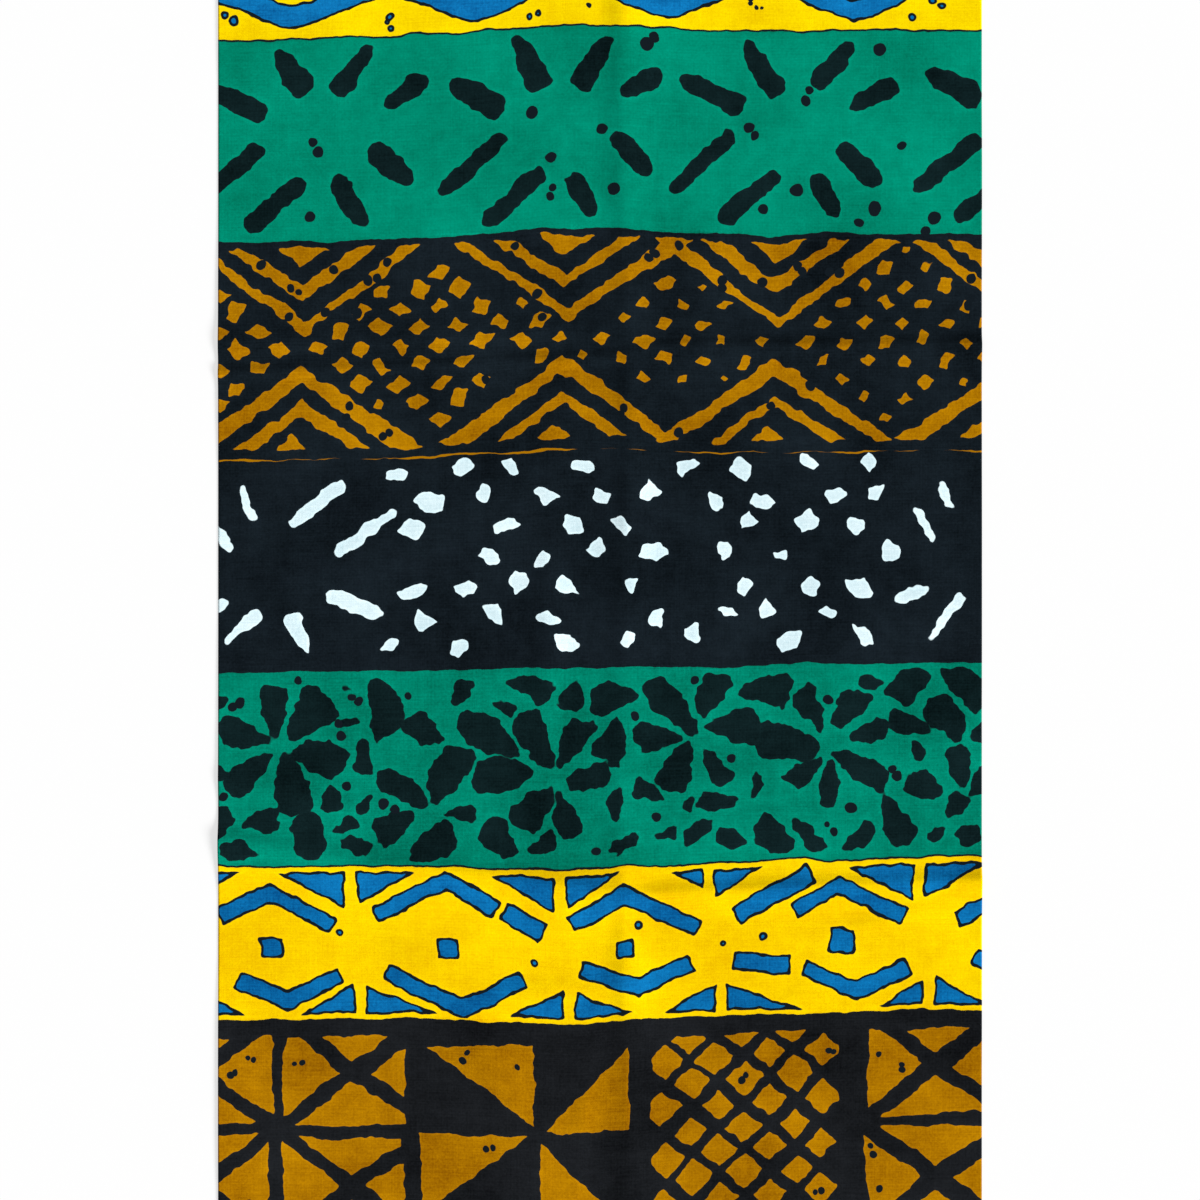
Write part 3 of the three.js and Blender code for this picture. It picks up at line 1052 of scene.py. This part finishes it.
def spotDistance(finish, place):
    spot = None
    for index in range(nearest["spots"]):
        circle = finish.carried(f"spot{index}")
        away = finish.vector("MULTIPLY", finish.vector("SUBTRACT", place, circle), (1, 1, 0))
        outside = finish.vector("LENGTH", away, output=1) - finish.part(circle, 2)
        spot = outside if spot is None else finish.math("MINIMUM", spot, outside)
    return spot


def bandInks(finish, flat, across):
    # each band's two inks from its top edge down, the mask of the bands with drawn outlines, and
    # the thin lines along the bands' edges
    ground, ink, drawn = linear(bands[0]["ground"]), linear(bands[0]["ink"]), 0.0
    lines = []
    wasDrawn = False
    for band in bands[1:]:
        below = finish.within(across - band["top"], printed["bleed"])
        ground = finish.mix(below, ground, linear(band["ground"]))
        ink = finish.mix(below, ink, linear(band["ink"]))
        isDrawn = band["ink"] in ("blue", "deepBlue")
        if isDrawn != wasDrawn:
            drawn = drawn + below * (1.0 if isDrawn else -1.0)
        wasDrawn = isDrawn
        if band["line"]:
            row = drawnLines[band["line"]]
            thick = row["width"]
            if row["breaks"]:
                drawnOut = finish.vector("MULTIPLY", flat, breaks["scale"])
                stretch = finish.noise(drawnOut, breaks["across"], 3.0)
                thick = finish.math("MINIMUM", (stretch - breaks["level"]) * row["breaks"], row["width"])
            lines.append((abs(across - (band["top"] + row["drop"])) - thick / 2, linear(band["line"])))
    return ground, ink, drawn, lines


def unevenDye(finish, flat):
    # the slubs along both ways of the weave, the blotches, and all of the dye's unevenness together
    weft = finish.noise(finish.vector("MULTIPLY", flat, dye["weftScale"]), 1.0)
    warp = finish.noise(finish.vector("MULTIPLY", flat, dye["warpScale"]), 1.0)
    patches = finish.noise(flat, dye["patchSize"], 1.0)
    blotches = finish.noise(flat, dye["blotchSize"], 3.0)
    grain = finish.noise(flat, dye["grainSize"], 1.0)
    uneven = (weft - 0.5) * dye["weft"] + (warp - 0.5) * dye["warp"] + (grain - 0.5) * dye["grain"]
    uneven = uneven + (patches - 0.5) * dye["patches"] + (blotches - 0.5) * dye["blotches"]
    return weft, warp, blotches, uneven


def dyed(finish, ink, change, rim):
    # where the dye lies thicker or thinner, what an ink lets through changes less than the rest
    heed = finish.vector("SUBTRACT", (dye["heed"],) * 3, finish.scaled(ink, dye["spared"]))
    factor = finish.vector("ADD", finish.scaled(heed, change), (1, 1, 1))
    return finish.scaled(finish.vector("MULTIPLY", ink, factor), 1 + rim)


def printedCotton():
    finish = Finish("printedCotton")
    plan = finish.node("ShaderNodeUVMap", dict(uv_map="printPlan"))
    flat = finish.scaled(plan, 1 / metres)
    hand, stir = finish.carried("hand"), finish.carried("stir")
    place, calm = unsteadyPlaces(finish, flat, finish.part(hand, 1))
    shape = motifDistance(finish, place, finish.part(hand, 0))
    spot = spotDistance(finish, calm)
    ground, ink, drawn, lines = bandInks(finish, flat, finish.part(calm, 1))
    weft, warp, blotches, uneven = unevenDye(finish, flat)

    # the ground and the motifs with their paler rims, and the outlines, the spots and the lines
    (haloWidth, haloStrength), (lipWidth, lipStrength) = printed["halo"], printed["lip"]
    halo = finish.within(shape - haloWidth / 2, haloWidth)
    lip = finish.within(-shape - lipWidth / 2, lipWidth)
    ground = dyed(finish, ground, uneven * finish.part(stir, 0), halo * haloStrength)
    ink = dyed(finish, ink, uneven * finish.part(stir, 1), lip * lipStrength)
    colour = finish.mix(finish.within(shape, printed["bleed"]), ground, ink)
    outline = finish.within(abs(shape) - printed["outline"] / 2, printed["bleed"]) * drawn
    colour = finish.mix(outline, colour, linear("black"))
    inSpot = finish.within(spot, printed["bleed"])
    fill = drawn * finish.within(spot + printed["outline"], printed["bleed"])
    colour = finish.mix(inSpot, colour, finish.mix(fill, linear("black"), linear("blue")))
    for outside, lineInk in lines:
        colour = finish.mix(finish.within(outside, printed["bleed"]), colour, lineInk)

    # the selvedge is bare cotton
    onCloth = finish.node("ShaderNodeTexCoord", None, None, 3)
    fromEnd = halfLength - abs(finish.part(onCloth, 1)) / metres
    selvedge, selvedgeSoft = printed["selvedge"]
    colour = finish.mix(finish.within(fromEnd - selvedge, selvedgeSoft), colour, linear("cotton"))

    # the weave: the crossing threads and, coarser, the slubs
    ways = [finish.math("SINE", finish.part(flat, way) * (fullTurn / weave["thread"])) for way in (0, 1)]
    height = ways[0] * ways[1] * weave["threadRise"] + weft * weave["weftRise"] + warp * weave["warpRise"]
    bumps = {"Strength": weave["bump"], "Distance": weave["bumpDepth"], "Height": height}
    finish.surface({
        "Base Color": colour,
        "Roughness": weave["roughness"] + (blotches - 0.5) * weave["roughnessSpread"],
        "Normal": finish.node("ShaderNodeBump", None, bumps),
        "Specular IOR Level": weave["specular"],
        "Sheen Weight": weave["sheen"],
        "Sheen Roughness": weave["sheenRoughness"],
    })
    return finish.material


def ring(shape):
    # the vertex numbers round the outside of a grid, anticlockwise from above
    number = np.arange(shape[0] * shape[1]).reshape(shape)
    return np.concatenate([number[0, :-1], number[:-1, -1], number[-1, :0:-1], number[:0:-1, 0]])


def buildCloth():
    # the upper and the under face on one grid, and a rim between them
    columns = gridLines(-halfWidth, halfWidth, [longFold["x"]], cloth["columnSpacing"])
    rows = gridLines(-halfLength, halfLength, [fold["atFold"] for fold in crossFolds], cloth["rowSpacing"])
    gridX, gridY = np.meshgrid(columns, rows)
    x, y, z = (part.ravel() for part in clothPlace(gridX, gridY))
    under = np.stack([x, y, z], 1)
    upper = under + (0, 0, cloth["thickness"])
    count, shape = len(x), gridX.shape
    number = np.arange(count).reshape(shape)
    quads = np.stack([number[:-1, :-1], number[:-1, 1:], number[1:, 1:], number[1:, :-1]], -1).reshape(-1, 4)
    outer = ring(shape)
    after = np.roll(outer, -1)
    rim = np.stack([outer, after, after + count, outer + count], 1)
    faces = np.concatenate([quads[:, ::-1], quads + count, rim])

    # where each corner of each face lies on the print; the rim's lower corners are turned in
    places = np.stack(printPlace(x, y), 1)
    inX = np.clip(x, cloth["rimTurn"] - halfWidth, halfWidth - cloth["rimTurn"])
    inY = np.clip(y, cloth["rimTurn"] - halfLength, halfLength - cloth["rimTurn"])
    turnedIn = np.stack(printPlace(inX, inY), 1)
    flat, flatIn = np.stack([x, y], 1), np.stack([inX, inY], 1)

    def onCorners(outside, inside):
        values = np.concatenate([outside, outside])[faces]
        values[-len(rim):, :2] = inside[rim[:, :2]]
        return values

    mesh = meshFrom("printedCloth", np.concatenate([under, upper]) * metres, faces)
    plan = onCorners(places, turnedIn)
    bake = onCorners(flat, flatIn) / (2 * halfWidth, 2 * halfLength) + 0.5
    for name, values in (("printPlan", plan * metres), ("OFBake", bake)):
        mesh.uv_layers.new(name=name).data.foreach_set("uv", values.ravel())
    layPrint(mesh, *plan.mean(1).T)
    return mesh


def meshFrom(name, points, faces):
    mesh = bpy.data.meshes.new(name)
    mesh.vertices.add(len(points))
    mesh.vertices.foreach_set("co", points.ravel())
    mesh.loops.add(faces.size)
    mesh.loops.foreach_set("vertex_index", faces.ravel())
    mesh.polygons.add(len(faces))
    mesh.polygons.foreach_set("loop_start", np.arange(0, faces.size, faces.shape[1]))
    mesh.polygons.foreach_set("loop_total", np.full(len(faces), faces.shape[1]))
    mesh.update(calc_edges=True)
    mesh.validate()
    mesh.polygons.foreach_set("use_smooth", np.ones(len(faces), bool))
    return mesh


def placed(mesh, material):
    piece = bpy.data.objects.new(mesh.name, mesh)
    bpy.context.collection.objects.link(piece)
    mesh.materials.append(material)
    return piece


cotton = printedCotton()
printedCloth = placed(buildCloth(), cotton)
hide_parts("cloth")
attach(printedCloth, "root")
print("cloth built:", len(printedCloth.data.polygons), "faces")

# A plain pale floor and soft studio light, strongest from the right and a little from below. The
# floor glows by itself, as a light table does, so that the shadows on it stay faint. floor is how
# wide it is, and under how far below the cloth it lies, both in metres.
studio = dict(
    floor=120.0, under=0.0002, paper=0.35, roughness=0.9, specular=0.1, glow=0.64,
    world=0.34, key=5.0, keyAngle=22, keyPlace=(1.3, -1.1, 0.78),
)


def buildStudio():
    half = studio["floor"] / 2
    corners = np.array([(-half, -half), (half, -half), (half, half), (-half, half)])
    corners = np.column_stack([corners, np.full(4, -studio["under"])])
    finish = Finish("palePaper")
    white = (1.0, 1.0, 1.0, 1.0)
    finish.surface({
        "Base Color": (*(studio["paper"],) * 3, 1.0),
        "Roughness": studio["roughness"],
        "Specular IOR Level": studio["specular"],
        "Emission Color": white,
        "Emission Strength": studio["glow"],
    })
    floor = placed(meshFrom("paleFloor", corners, np.array([[0, 1, 2, 3]])), finish.material)
    world = bpy.data.worlds.new("softRoom")
    world.use_nodes = True
    sky = world.node_tree.nodes["Background"].inputs
    sky["Color"].default_value, sky["Strength"].default_value = white, studio["world"]
    bpy.context.scene.world = world
    lamp = bpy.data.lights.new("keyLight", "SUN")
    lamp.energy, lamp.angle = studio["key"], np.radians(studio["keyAngle"])
    key = bpy.data.objects.new("keyLight", lamp)
    key.rotation_euler = Vector(studio["keyPlace"]).to_track_quat("Z", "Y").to_euler()
    bpy.context.collection.objects.link(key)
    bpy.context.scene.view_settings.view_transform = "Standard"


buildStudio()
print("studio set")
